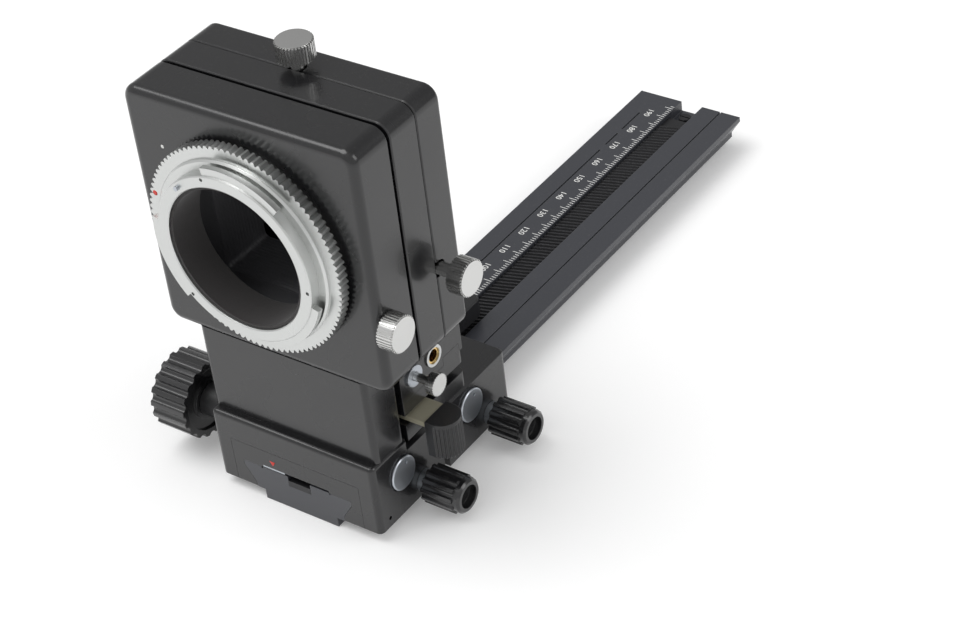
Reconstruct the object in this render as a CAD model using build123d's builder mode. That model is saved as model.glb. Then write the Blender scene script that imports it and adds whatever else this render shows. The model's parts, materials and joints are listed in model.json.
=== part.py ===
"""Macro bellows unit: two standards on a rack rail, with a lens standard that swings and shifts.

Units are millimetres. X runs to the right of the rail, Y along the rail away from the camera
body, Z up. The origin is the middle of the rail's near end, on the surface it stands on.
"""
import os
from math import cos, pi, radians, sin, tan

from build123d import *

os.makedirs("parts", exist_ok=True)

# ---------------------------------------------------------------- driving dimensions
# Rail
rail_length = 200.0
rail_width = 35.4
rail_top = 11.0
rail_edge = 1.5          # upright edge above the dovetail's slope
rail_waist = 29.2        # width at the foot of the slope
rail_slope_foot = 4.7    # height of the foot of the slope
foot_width = 24.0
foot_height = 3.0
channel_width = 7.4      # groove that holds the rack
channel_middle = 0.6
channel_depth = 3.3
line_middle = -11.6      # engraved line beside the scale
line_width = 0.6
line_depth = 0.5
step_width = 0.5         # small groove along the right-hand land
step_middle = 10.9

# Rack and pinion
module_size = 0.5
pinion_teeth = 24
rack_start = 0.0
rack_end = 192.0
rack_slant = 17.0        # slant of the teeth, degrees
rack_body = 1.95         # height of the rack below its teeth
tooth_height = 0.55
tip_gap = 0.12           # between the rack's tips and the pinion's tips
shaft_radius = 3.0

# Carriages
slide_gap = 0.10         # between rail and carriage
block_width = 53.2
block_bottom = 3.2
block_length = 28.6
rear_front_top = 25.0    # top of the rear block below its upright
rear_back_top = 22.0
front_top = 23.4
carriage_pitch = 30.7    # from the rear block's front to the front block's front
block_corner = 1.6
upright_face = 2.4       # setback of the upright from the block's front face
plate_width = 42.0
plate_height = 13.9
plate_thickness = 2.0
seat_gap = 0.10          # around pieces let into a recess
gib_width = 7.2
gib_left = -11.1
gib_thickness = 0.5
relief_right = 10.6
relief_height = 0.7

# Drive and lock
pinion_place = 11.5      # from the front of its block
pinion_height = 15.9
hub_radius = 4.7
hub_length = 11.0
drive_radius = 11.3
drive_length = 11.5
drive_flutes = 18
cap_radius = 4.85
cap_thickness = 1.2
cap_recess = 0.5
running_gap = 0.05
lock_place = 19.4
lock_height = 7.4
lock_radius = 5.4
lock_length = 11.7
lock_flutes = 12
lock_shaft = 1.9
collar_radius = 3.2
collar_length = 2.6
lock_grip = 6.0          # shaft length inside the lock knob

# Box of the two standards
box_size = 70.8
box_bottom = 51.2
box_corner = 4.0
wall = 3.0
rear_box_front = 1.5
rear_box_back = 14.4
frame_front = 15.4
frame_back = 25.3
panel_front = 25.5
panel_back = 35.2
front_round = 2.2
seam_edge = 0.3
lip_back = 30.6
lip_gap = 0.2            # between the frame's lip and the lens panel's walls
lip_thickness = 1.5
pleat_depth = 6.5
bellows_gap = 0.4        # between the cloth and the frame's lip

# Camera side
ring_radius = 29.3
ring_teeth = 100
ring_tooth_depth = 1.0
ring_front = -2.8
ring_back = 0.2          # far side of the toothed flange
ring_step = 1.0          # height of the raised collar inside the flange
ring_step_radius = 25.9
ring_hub_radius = 27.0
rim_hole_circle = 22.4
rim_hole_turns = (104.0, -6.0, 224.0)
rim_pin_circle = 21.9
rim_pin_turn = 129.0
bayonet_radius = 23.4
bayonet_front = -7.0
lug_radius = 25.4
lug_thickness = 1.6
lug_setback = 0.5
lug_turns = (49.0, 169.0, 289.0)
lug_sweep = 54.0
throat_radius = 20.1
sleeve_thickness = 0.8
sleeve_back = 4.9

# Knurled screws
thumb_radius = 4.9
thumb_thickness = 4.8
thumb_flutes = 36
knurl_depth = 0.35
thumb_shaft = 1.8
seam_screw_place = 26.8
side_screw_height = 74.0
ring_lock_place = 4.3
ring_lock_height = 70.7

# Front standard
deck_front = 15.7
deck_back = 41.9
deck_top = 28.2
swing_bottom = 31.3
swing_top = 35.2
rib_front = 33.5
rib_back = 40.4
rib_height = 2.6
rib_gap = 0.1
pivot_place = 28.8
pivot_radius = 4.0
boss_radius = 10.0
base_top = 46.6
base_round = 4.0
socket_place = 29.8
socket_height = 41.3
socket_radius = 3.1
socket_bore = 1.7
shift_screw_place = 21.2
shift_screw_height = 40.9
shift_head_radius = 3.1
shift_shaft = 1.2
shift_flutes = 26
socket_depth = 6.0
thread_thickness = 0.6

# Tongue over the scale
tongue_left = -18.1
tongue_right = 3.9
tongue_back = 80.8
tongue_bottom = 12.4
tongue_top = 18.1
tongue_ramp = 9.0

# Lever
lever_thickness = 1.6
lever_bottom = 28.9
lever_front = 17.0
lever_back = 25.4
grip_inner = 31.9
lever_rim = 2.0
lever_grip_depth = 2.5
grip_bottom = 20.0
grip_ridges = 15
grip_lid = 1.0            # plain rim above the ridges
grip_top = 30.9

# Lens side
lens_throat = 23.6
lens_ring_radius = 31.0
lens_ring_thickness = 2.4
claw_reach = 1.6
claw_thickness = 1.2
claw_turns = (10.0, 130.0, 250.0)
claw_sweep = 52.0
button_radius = 2.6
button_offset = 28.0
button_travel = 1.6
button_height = 2.6

optical_height = box_bottom + box_size / 2
tongue_root = carriage_pitch + block_length
inner_size = box_size - 2 * wall
inner_corner = box_corner - wall + 1.0
lip_outer = inner_size - 2 * lip_gap
lip_inner = lip_outer - 2 * lip_thickness
block_half = block_width / 2
box_half = box_size / 2
ring_hub_back = rear_box_front + wall - 0.6
rail_half = rail_width / 2
channel_floor = rail_top - channel_depth
rack_top = channel_floor + rack_body + tooth_height
pinion_tip = pinion_height - rack_top - tip_gap


def save(piece, name):
    """Label one finished piece and write it as its own node."""
    piece.label = name
    export_step(piece, f"parts/{name}.step")


def side_plane(x):
    """Plane at one X, drawn in (Y, Z), looking along +X."""
    return Plane(origin=(x, 0, 0), x_dir=(0, 1, 0), z_dir=(1, 0, 0))


def face_plane(y):
    """Plane at one Y, drawn in (X, Z), with extrusion along +Y."""
    return Plane(origin=(0, y, 0), x_dir=(1, 0, 0), z_dir=(0, -1, 0))


def ring_sector(inner_radius, outer_radius, start_turn, sweep):
    """Outline of one lug on the optical axis, drawn on a face plane."""
    centre = (0, optical_height)
    with BuildSketch() as sector:
        with BuildLine():
            outer = CenterArc(centre, outer_radius, start_turn, sweep)
            inner = CenterArc(centre, inner_radius, start_turn, sweep)
            Line(outer @ 0, inner @ 0)
            Line(outer @ 1, inner @ 1)
        make_face()
    return sector.sketch


# ---------------------------------------------------------------- rail
def rail_points(margin=0.0):
    """Half of the dovetail's outline, from the top middle round to the bottom middle."""
    half = rail_half + margin
    waist = rail_waist / 2 + margin
    return [
        (half, rail_top + margin),
        (half, rail_top - rail_edge),
        (waist, rail_slope_foot),
        (waist, foot_height),
    ]


def mirrored(points):
    """Close an outline with its mirror image in X."""
    return points + [(-x, z) for x, z in reversed(points)]


foot_points = [(foot_width / 2, foot_height), (foot_width / 2, 0.0)]
with BuildPart() as rail:
    with BuildSketch(face_plane(0)):
        Polygon(*mirrored(rail_points() + foot_points), align=None)
        with Locations((channel_middle, rail_top)):
            Rectangle(channel_width, 2 * channel_depth, mode=Mode.SUBTRACT)
        with Locations((step_middle, rail_top)):
            Rectangle(step_width, 2 * line_depth, mode=Mode.SUBTRACT)
    extrude(amount=-rail_length)
    line_runs = [(0.0, 166.0), (169.0, 176.0), (178.5, 189.0)]
    with BuildSketch(Plane.XY.offset(rail_top)):
        for start, end in line_runs:
            with Locations((line_middle, (start + end) / 2)):
                Rectangle(line_width, end - start)
    extrude(amount=-line_depth, mode=Mode.SUBTRACT)
    stop_place = rail_length - 4.5
    with Locations(Plane.XY.offset(channel_floor)):
        with Locations((channel_middle, stop_place)):
            Hole(1.05, depth=3.0)
    with BuildSketch(Plane.XY):
        with Locations((0, rail_length / 2)):
            Circle(5.05)
    extrude(amount=6.0, mode=Mode.SUBTRACT)
save(rail.part, "rail")

# Threaded bush for a tripod screw, let into the rail's foot.
with BuildPart() as tripod_bush:
    with BuildSketch(Plane.XY):
        with Locations((0, rail_length / 2)):
            Circle(5.0)
            Circle(3.175, mode=Mode.SUBTRACT)
    extrude(amount=5.9)
save(tripod_bush.part, "tripod_bush")

rack_left = channel_middle - channel_width / 2 + seat_gap
rack_width = channel_width - 2 * seat_gap
slant = tan(radians(rack_slant))
with BuildPart() as rack:
    with BuildSketch(Plane.XY.offset(channel_floor)):
        with Locations((channel_middle, (rack_start + rack_end) / 2)):
            Rectangle(rack_width, rack_end - rack_start)
    extrude(amount=rack_body)
    pitch = pi * module_size
    first = rack_start + pitch
    last_start = rack_end - rack_width * slant - pitch
    count = int((last_start - first) / pitch)
    with BuildSketch(side_plane(rack_left)):
        for k in range(count):
            place = first + k * pitch
            with BuildLine():
                Polyline(
                    (place, channel_floor + rack_body - 0.2),
                    (place + 0.30 * pitch, channel_floor + rack_body + tooth_height),
                    (place + 0.55 * pitch, channel_floor + rack_body + tooth_height),
                    (place + 0.85 * pitch, channel_floor + rack_body - 0.2),
                    close=True,
                )
            make_face()
    extrude(amount=rack_width, dir=(1, slant, 0))
save(rack.part, "rack")

with BuildPart() as stop_screw:
    with BuildSketch(Plane.XY.offset(channel_floor)):
        with Locations((channel_middle, stop_place)):
            Circle(1.9)
    extrude(amount=1.2)
    with BuildSketch(Plane.XY.offset(channel_floor)):
        with Locations((channel_middle, stop_place)):
            Circle(1.0)
    extrude(amount=-2.6)
    with BuildSketch(Plane.XY.offset(channel_floor + 1.2)):
        with Locations((channel_middle, stop_place)):
            Rectangle(3.9, 0.5)
    extrude(amount=-0.5, mode=Mode.SUBTRACT)
save(stop_screw.part, "rail_stop_screw")


# ---------------------------------------------------------------- carriages
def tunnel(start, length):
    """Room for the rail, and the gib's relief above it, through a block."""
    with BuildPart() as room:
        with BuildSketch(face_plane(start)):
            Polygon(*mirrored(rail_points(slide_gap) + [(rail_waist / 2 + slide_gap, -1.0)]), align=None)
            with Locations(((gib_left + relief_right) / 2, rail_top + relief_height / 2)):
                Rectangle(relief_right - gib_left + 2 * seat_gap, relief_height + 2 * seat_gap)
        extrude(amount=-length)
    return room.part


def bores(start):
    """Room for the pinion, its cap and the lock screw in a block that starts at one Y."""
    centre = (start + pinion_place, pinion_height)
    with BuildPart() as room:
        with BuildSketch(side_plane(-block_half - 1)):
            with Locations(centre):
                Circle(shaft_radius + running_gap)
        extrude(amount=block_width + 2)
        with BuildSketch(side_plane(rack_left - 0.3)):
            with Locations(centre):
                Circle(pinion_tip + 0.25)
        extrude(amount=rack_width + 0.6)
        with BuildSketch(side_plane(block_half - cap_recess)):
            with Locations(centre):
                Circle(cap_radius + 0.25)
        extrude(amount=cap_recess + 1)
        with BuildSketch(side_plane(rail_waist / 2)):
            with Locations((start + lock_place, lock_height)):
                Circle(lock_shaft + running_gap)
        extrude(amount=block_half)
        with BuildSketch(side_plane(block_half - 1.2)):
            with Locations((start + 4.3, 5.9)):
                Circle(0.6)
        extrude(amount=2.0)
    return room.part


with BuildPart() as rear_block:
    step_place = rear_box_back
    with BuildSketch(side_plane(-block_half)):
        Polygon(
            (0, block_bottom),
            (block_length, block_bottom),
            (block_length, rear_back_top),
            (step_place, rear_back_top),
            (step_place, rear_front_top),
            (0, rear_front_top),
            align=None,
        )
    extrude(amount=block_width)
    fillet(rear_block.edges().filter_by(Axis.Z).group_by(Axis.Y)[0], block_corner)
    fillet(rear_block.edges().filter_by(Axis.X).group_by(Axis.Y)[0].group_by(Axis.Z)[-1], 1.2)
    back_sides = rear_block.edges().filter_by(Axis.Y).group_by(Axis.Z)
    for group in back_sides:
        if abs(group[0].center().Z - rear_back_top) < 0.01:
            chamfer(group, 1.0)
    with BuildSketch(face_plane(0)):
        with Locations((0, block_bottom + plate_height / 2)):
            Rectangle(plate_width + 2 * seat_gap, plate_height + 2 * seat_gap)
    extrude(amount=-plate_thickness, mode=Mode.SUBTRACT)
    add(tunnel(0, block_length), mode=Mode.SUBTRACT)
    add(bores(0), mode=Mode.SUBTRACT)
save(rear_block.part, "rear_block")

with BuildPart() as index_plate:
    with BuildSketch(face_plane(0)):
        with Locations((0, block_bottom + plate_height / 2)):
            Rectangle(plate_width, plate_height)
    extrude(amount=-plate_thickness)
    add(tunnel(-1, plate_thickness + 2), mode=Mode.SUBTRACT)
save(index_plate.part, "index_plate")


def gib_strip(start, length):
    """Steel strip between the rail's top and the block's roof, hung in the relief's roof."""
    roof = rail_top + relief_height + seat_gap
    with BuildPart() as strip:
        with BuildSketch(Plane.XY.offset(roof)):
            with Locations((gib_left + gib_width / 2, start + length / 2)):
                Rectangle(gib_width, length)
        extrude(amount=-gib_thickness)
    return strip.part


save(gib_strip(0.0, block_length), "rear_gib")
save(gib_strip(carriage_pitch, block_length), "front_gib")

with BuildPart() as front_block:
    with BuildSketch(side_plane(-block_half)):
        with Locations((carriage_pitch, block_bottom)):
            Rectangle(block_length, front_top - block_bottom, align=Align.MIN)
    extrude(amount=block_width)
    fillet(front_block.edges().filter_by(Axis.Z).group_by(Axis.Y)[-1], block_corner)
    chamfer(front_block.edges().filter_by(Axis.Y).group_by(Axis.Z)[-1], 1.3)
    add(tunnel(carriage_pitch, block_length), mode=Mode.SUBTRACT)
    add(bores(carriage_pitch), mode=Mode.SUBTRACT)
    with BuildSketch(Plane.XY.offset(front_top)):
        with Locations((0, pivot_place)):
            Circle(pivot_radius + 0.4)
    extrude(amount=-1.0, mode=Mode.SUBTRACT)
save(front_block.part, "front_block")

# Tongue that runs out over the scale behind the block, with a cover along its top.
with BuildPart() as index_tongue:
    with BuildSketch(side_plane(tongue_left)):
        Polygon(
            (tongue_root, tongue_bottom),
            (tongue_back, tongue_bottom),
            (tongue_back, tongue_top),
            (tongue_root + tongue_ramp, tongue_top),
            (tongue_root, front_top - 1.5),
            align=None,
        )
    extrude(amount=tongue_right - tongue_left)
    fillet(index_tongue.edges().filter_by(Axis.Z).group_by(Axis.Y)[-1], 2.5)
    chamfer(index_tongue.edges().filter_by(Axis.Y).group_by(Axis.Z)[-1], 0.5)
save(index_tongue.part, "index_tongue")


# ---------------------------------------------------------------- knobs and screws
def fluted_disc(radius, count, depth):
    """Sketch of a disc with round flutes cut in its edge."""
    Circle(radius)
    width = 2 * pi * radius / count
    with PolarLocations(radius + width * 0.12, count):
        Circle(min(width * 0.36, depth + width * 0.12), mode=Mode.SUBTRACT)


def pinion(start):
    """Toothed pinion on its shaft, from the drive knob to the cap."""
    centre = (start + pinion_place, pinion_height)
    root = pinion_tip - tooth_height
    with BuildPart() as gear:
        with BuildSketch(side_plane(rack_left)):
            with Locations(centre):
                tooth_points = []
                for k in range(pinion_teeth):
                    base = 2 * pi * k / pinion_teeth
                    for share, radius in ((0.0, root), (0.22, pinion_tip), (0.48, pinion_tip), (0.70, root)):
                        turn = base + share * 2 * pi / pinion_teeth
                        tooth_points.append((radius * cos(turn), radius * sin(turn)))
                Polygon(*tooth_points, align=None)
        extrude(amount=rack_width)
        with BuildSketch(side_plane(-block_half - hub_length - drive_length + 2.0)):
            with Locations(centre):
                Circle(shaft_radius)
        extrude(amount=block_width + hub_length + drive_length - 2.0 - cap_recess)
    return gear.part


def drive_knob(start):
    """Large fluted knob with a shallow recess in its outer face."""
    centre = (start + pinion_place, pinion_height)
    outer = -block_half - hub_length - drive_length - running_gap * 2
    with BuildPart() as knob:
        with BuildSketch(side_plane(outer)):
            with Locations(centre):
                fluted_disc(drive_radius, drive_flutes, 0.9)
        extrude(amount=drive_length)
        with BuildSketch(side_plane(outer)):
            with Locations(centre):
                Circle(drive_radius - 2.6)
        extrude(amount=0.8, mode=Mode.SUBTRACT)
        with BuildSketch(side_plane(outer + 2.0)):
            with Locations(centre):
                Circle(shaft_radius)
        extrude(amount=drive_length, mode=Mode.SUBTRACT)
        with BuildSketch(side_plane(outer + drive_length)):
            with Locations(centre):
                Circle(drive_radius - 2.2)
                Circle(hub_radius + 1.2, mode=Mode.SUBTRACT)
        extrude(amount=-0.7, mode=Mode.SUBTRACT)
    return knob.part


def pinion_hub(start):
    """Bearing hub that carries the pinion's shaft on the drive side."""
    with BuildPart() as hub:
        with BuildSketch(side_plane(-block_half)):
            with Locations((start + pinion_place, pinion_height)):
                Circle(hub_radius)
                Circle(shaft_radius + running_gap, mode=Mode.SUBTRACT)
        extrude(amount=-hub_length)
    return hub.part


def pinion_cap(start):
    """Flat cap on the shaft's far end, with the small hole for a pin wrench."""
    centre = (start + pinion_place, pinion_height)
    with BuildPart() as cap:
        with BuildSketch(side_plane(block_half - cap_recess)):
            with Locations(centre):
                Circle(cap_radius)
        extrude(amount=cap_thickness)
        with BuildSketch(side_plane(block_half - cap_recess + cap_thickness)):
            with Locations((centre[0] + 1.2, centre[1] + 2.8)):
                Circle(0.45)
        extrude(amount=-0.7, mode=Mode.SUBTRACT)
        chamfer(cap.edges().filter_by(GeomType.CIRCLE).group_by(Axis.X)[-1].sort_by(SortBy.RADIUS)[-1:], 0.25)
    return cap.part


def lock_screw(start):
    """Clamp screw whose tip bears on the dovetail's slope, with its collar."""
    centre = (start + lock_place, lock_height)
    tip = rail_waist / 2 + (lock_height + lock_shaft - rail_slope_foot) * (rail_width - rail_waist) / 2 / (
        rail_top - rail_edge - rail_slope_foot
    )
    with BuildPart() as screw:
        with BuildSketch(side_plane(tip + 0.35)):
            with Locations(centre):
                Circle(lock_shaft)
        extrude(amount=block_half + collar_length + lock_grip - tip)
        with BuildSketch(side_plane(block_half + running_gap)):
            with Locations(centre):
                Circle(collar_radius)
        extrude(amount=collar_length)
    return screw.part


def lock_knob(start):
    """Fluted clamp knob with a deep round recess in its end."""
    centre = (start + lock_place, lock_height)
    root = block_half + running_gap + collar_length
    with BuildPart() as knob:
        with BuildSketch(side_plane(root)):
            with Locations(centre):
                fluted_disc(lock_radius, lock_flutes, 0.75)
        extrude(amount=lock_length - 2.0)
        with BuildSketch(side_plane(root + lock_length - 2.0)):
            with Locations(centre):
                Circle(lock_radius - 0.55)
        extrude(amount=2.0)
        chamfer(knob.faces().sort_by(Axis.X)[-1].edges(), 0.6)
        with BuildSketch(side_plane(root + lock_length)):
            with Locations(centre):
                Circle(lock_radius - 2.1)
        extrude(amount=-2.2, mode=Mode.SUBTRACT)
        with BuildSketch(side_plane(root)):
            with Locations(centre):
                Circle(lock_shaft)
        extrude(amount=lock_grip + 0.4, mode=Mode.SUBTRACT)
    return knob.part


for side, start in (("rear", 0.0), ("front", carriage_pitch)):
    save(pinion(start), f"{side}_pinion")
    save(drive_knob(start), f"{side}_drive_knob")
    save(pinion_hub(start), f"{side}_pinion_hub")
    save(pinion_cap(start), f"{side}_pinion_cap")
    save(lock_screw(start), f"{side}_lock_screw")
    save(lock_knob(start), f"{side}_lock_knob")


def thumb_screw(plane, shaft_start, head_start, head_radius, head_thickness):
    """Knurled head on a plain shaft, both drawn on one plane and run along its normal."""
    with BuildPart() as screw:
        with BuildSketch(plane.offset(shaft_start)):
            Circle(thumb_shaft)
        extrude(amount=head_start - shaft_start + 0.5)
        with BuildSketch(plane.offset(head_start)):
            Circle(head_radius)
            with PolarLocations(head_radius, thumb_flutes):
                Rectangle(2 * knurl_depth, pi * head_radius / thumb_flutes, mode=Mode.SUBTRACT)
        extrude(amount=head_thickness)
        with BuildSketch(plane.offset(head_start + head_thickness)):
            Circle(head_radius - knurl_depth)
        extrude(amount=0.3)
    return screw.part


# ---------------------------------------------------------------- rear standard
with BuildPart() as rear_upright:
    with BuildSketch(Plane.XY.offset(rear_front_top)):
        with Locations((0, (upright_face + rear_box_back) / 2)):
            Rectangle(block_width, rear_box_back - upright_face)
    extrude(amount=box_bottom - rear_front_top)
    fillet(rear_upright.edges().filter_by(Axis.Z), block_corner)
save(rear_upright.part, "rear_upright")


def box_sketch(size, corner):
    """Rounded square on the optical axis."""
    with Locations((0, optical_height)):
        RectangleRounded(size, size, corner)


with BuildPart() as rear_box:
    with BuildSketch(face_plane(rear_box_front)):
        box_sketch(box_size, box_corner)
    extrude(amount=-(rear_box_back - rear_box_front))
    fillet(rear_box.faces().sort_by(Axis.Y)[0].edges(), front_round)
    chamfer(rear_box.faces().sort_by(Axis.Y)[-1].edges(), seam_edge)
    with BuildSketch(face_plane(rear_box_front + wall)):
        box_sketch(inner_size, inner_corner)
    extrude(amount=-(rear_box_back - rear_box_front), mode=Mode.SUBTRACT)
    with BuildSketch(face_plane(rear_box_front - 1)):
        with Locations((0, optical_height)):
            Circle(ring_hub_radius + running_gap)
    extrude(amount=-(wall + 2), mode=Mode.SUBTRACT)
    with BuildSketch(side_plane(box_half - wall - 1)):
        with Locations((ring_lock_place, ring_lock_height)):
            Circle(thumb_shaft + running_gap)
    extrude(amount=wall + 2, mode=Mode.SUBTRACT)
save(rear_box.part, "rear_box")

# Toothed turning ring with its hub in the box's front wall.
with BuildPart() as mount_ring:
    with BuildSketch(face_plane(ring_back)):
        with Locations((0, optical_height)):
            Circle(ring_radius)
            with PolarLocations(ring_radius + 0.1, ring_teeth):
                tooth_half = pi * ring_radius / ring_teeth * 0.8
                notch = ((0, -tooth_half), (-ring_tooth_depth, 0), (0, tooth_half))
                Polygon(*notch, align=None, mode=Mode.SUBTRACT)
    extrude(amount=ring_back - ring_front)
    with BuildSketch(face_plane(ring_front - ring_step)):
        with Locations((0, optical_height)):
            Circle(ring_step_radius)
    extrude(amount=-ring_step - 0.5)
    with BuildSketch(face_plane(ring_front)):
        with Locations((0, optical_height)):
            Circle(ring_hub_radius)
    extrude(amount=-(ring_hub_back - ring_front))
    chamfer(mount_ring.faces().sort_by(Axis.Y)[0].edges().filter_by(GeomType.CIRCLE), 0.5)
    with BuildSketch(face_plane(ring_front - ring_step - 1)):
        with Locations((0, optical_height)):
            Circle(bayonet_radius)
    extrude(amount=-(ring_hub_back - ring_front + ring_step + 2), mode=Mode.SUBTRACT)
save(mount_ring.part, "mount_ring")


def rim_place(circle_radius, turn):
    """Place on the bayonet's front rim, on a face plane."""
    turn = radians(turn)
    return (circle_radius * cos(turn), optical_height + circle_radius * sin(turn))


# Male bayonet with three lugs, pressed into the ring.
with BuildPart() as camera_bayonet:
    with BuildSketch(face_plane(bayonet_front)):
        with Locations((0, optical_height)):
            Circle(bayonet_radius)
            Circle(throat_radius, mode=Mode.SUBTRACT)
    extrude(amount=-(ring_hub_back - bayonet_front))
    with BuildSketch(face_plane(bayonet_front + lug_setback)):
        for turn in lug_turns:
            add(ring_sector(bayonet_radius - 0.5, lug_radius, turn, lug_sweep))
    extrude(amount=-lug_thickness)
    chamfer(camera_bayonet.faces().sort_by(Axis.Y)[0].edges().filter_by(GeomType.CIRCLE), 0.3)
    with BuildSketch(face_plane(bayonet_front)):
        for turn in rim_hole_turns:
            with Locations(rim_place(rim_hole_circle, turn)):
                Circle(0.5)
        with Locations(rim_place(rim_pin_circle, rim_pin_turn)):
            Circle(0.62)
    extrude(amount=-1.0, mode=Mode.SUBTRACT)
save(camera_bayonet.part, "camera_bayonet")

# Black sleeve that lines the throat.
with BuildPart() as throat_sleeve:
    with BuildSketch(face_plane(bayonet_front + 0.9)):
        with Locations((0, optical_height)):
            Circle(throat_radius - running_gap)
            Circle(throat_radius - sleeve_thickness, mode=Mode.SUBTRACT)
    extrude(amount=-(sleeve_back - bayonet_front - 1.8))
save(throat_sleeve.part, "throat_sleeve")

# Locating pin of the bayonet.
with BuildPart() as bayonet_pin:
    with BuildSketch(face_plane(bayonet_front - 0.8)):
        with Locations(rim_place(rim_pin_circle, rim_pin_turn)):
            Circle(0.6)
    extrude(amount=-1.8)
save(bayonet_pin.part, "bayonet_pin")

ring_lock_plane = Plane(origin=(0, ring_lock_place, ring_lock_height), x_dir=(0, 1, 0), z_dir=(1, 0, 0))
save(
    thumb_screw(ring_lock_plane, box_half - wall, box_half + 0.3, thumb_radius, thumb_thickness - 0.5),
    "ring_lock_screw",
)

# ---------------------------------------------------------------- bellows
bellows_outer = lip_inner - 2 * bellows_gap
bellows_inner = bellows_outer - 2 * pleat_depth
bellows_front = rear_box_front + wall
bellows_back = lip_back - bellows_gap
with BuildPart() as bellows:
    with BuildSketch(face_plane(bellows_front)):
        box_sketch(bellows_outer, inner_corner)
        with Locations((0, optical_height)):
            Rectangle(bellows_inner, bellows_inner, mode=Mode.SUBTRACT)
    extrude(amount=-(bellows_back - bellows_front))
save(bellows.part, "bellows")

# ---------------------------------------------------------------- front standard
with BuildPart() as swing_deck:
    with BuildSketch(Plane.XY.offset(front_top)):
        with Locations((0, (deck_front + deck_back) / 2)):
            Rectangle(block_width, deck_back - deck_front)
    extrude(amount=deck_top - front_top)
    fillet(swing_deck.edges().filter_by(Axis.Z).group_by(Axis.Y)[-1], block_corner)
    with BuildSketch(Plane.XY.offset(deck_top)):
        with Locations((0, pivot_place)):
            Circle(pivot_radius + running_gap)
    extrude(amount=-(deck_top - front_top), mode=Mode.SUBTRACT)
save(swing_deck.part, "swing_deck")

with BuildPart() as swing_base:
    with BuildSketch(Plane.XY.offset(swing_bottom)):
        with Locations((0, (deck_front + deck_back) / 2)):
            Rectangle(block_width, deck_back - deck_front)
    extrude(amount=swing_top - swing_bottom)
    fillet(swing_base.edges().filter_by(Axis.Z).group_by(Axis.Y)[-1], block_corner)
    with BuildSketch(Plane.XY.offset(swing_top)):
        with Locations((0, (rib_front + rib_back) / 2)):
            Rectangle(block_width, rib_back - rib_front)
    extrude(amount=rib_height)
    with BuildSketch(Plane.XY.offset(swing_bottom)):
        with Locations((0, pivot_place)):
            Circle(boss_radius)
    extrude(amount=-(swing_bottom - deck_top - running_gap))
    with BuildSketch(Plane.XY.offset(swing_bottom)):
        with Locations((0, pivot_place)):
            Circle(pivot_radius)
    extrude(amount=-(swing_bottom - front_top - 0.1))
save(swing_base.part, "swing_base")

with BuildPart() as lever_arm:
    with BuildSketch(Plane.XY.offset(lever_bottom)):
        with Locations((0, pivot_place)):
            Circle(boss_radius + lever_rim)
        with Locations((0, (lever_front + lever_back) / 2)):
            reach = grip_inner + lever_grip_depth
            Rectangle(reach, lever_back - lever_front, align=(Align.MIN, Align.CENTER))
        with Locations((0, pivot_place)):
            Circle(boss_radius + running_gap, mode=Mode.SUBTRACT)
    extrude(amount=lever_thickness)
save(lever_arm.part, "lever_arm")

# Grip: flat towards the block, round and ridged outside.
grip_front = lever_front - 0.4
grip_back = lever_back + 0.8
grip_middle = (grip_front + grip_back) / 2
grip_half = (grip_back - grip_front) / 2
grip_flat = grip_inner + 2.4


def grip_outline():
    """Plan of the grip: flat towards the block, round outside."""
    with BuildSketch() as plan:
        with BuildLine():
            corner_points = [(grip_inner, grip_back), (grip_inner, grip_front)]
            Polyline((grip_flat, grip_back), *corner_points, (grip_flat, grip_front))
            crown = (grip_flat + grip_half, grip_middle)
            ThreePointArc((grip_flat, grip_front), crown, (grip_flat, grip_back))
        make_face()
    return plan.sketch


with BuildPart() as lever_grip:
    with BuildSketch(Plane.XY.offset(grip_bottom)):
        add(grip_outline())
        with Locations((grip_flat, grip_middle)):
            with PolarLocations(grip_half + 0.15, grip_ridges, -84, 168, endpoint=True):
                Circle(0.5, mode=Mode.SUBTRACT)
    extrude(amount=grip_top - grip_bottom - grip_lid)
    with BuildSketch(Plane.XY.offset(grip_top - grip_lid)):
        add(grip_outline())
    extrude(amount=grip_lid)
    with BuildSketch(side_plane(grip_inner - 0.1)):
        with Locations(((lever_front + lever_back) / 2, lever_bottom + lever_thickness / 2)):
            Rectangle(lever_back - lever_front + 0.1, lever_thickness + 0.1)
    extrude(amount=lever_grip_depth + 0.15, mode=Mode.SUBTRACT)
save(lever_grip.part, "lever_grip")

with BuildPart() as shift_base:
    with BuildSketch(side_plane(-block_half)):
        with Locations((deck_front, swing_top + running_gap)):
            Rectangle(deck_back - deck_front, base_top - swing_top - running_gap, align=Align.MIN)
    extrude(amount=block_width)
    fillet(shift_base.edges().filter_by(Axis.X).group_by(Axis.Y)[-1].group_by(Axis.Z)[-1], base_round)
    with BuildSketch(Plane.XY.offset(base_top)):
        with Locations((0, (deck_front + frame_back) / 2)):
            Rectangle(block_width, frame_back - deck_front)
    extrude(amount=box_bottom - base_top)
    with BuildSketch(Plane.XY.offset(swing_top)):
        with Locations((0, (rib_front + rib_back) / 2)):
            Rectangle(block_width + 2, rib_back - rib_front + 2 * rib_gap)
    extrude(amount=rib_height + rib_gap, mode=Mode.SUBTRACT)
    with BuildSketch(side_plane(block_half - socket_depth)):
        with Locations((socket_place, socket_height)):
            Circle(socket_radius + running_gap)
        with Locations((shift_screw_place, shift_screw_height)):
            Circle(shift_shaft + running_gap)
    extrude(amount=7.0, mode=Mode.SUBTRACT)
save(shift_base.part, "shift_base")

with BuildPart() as release_socket:
    with BuildSketch(side_plane(block_half - socket_depth)):
        with Locations((socket_place, socket_height)):
            Circle(socket_radius)
            Circle(socket_bore + thread_thickness, mode=Mode.SUBTRACT)
    extrude(amount=6.5)
save(release_socket.part, "release_socket")

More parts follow.
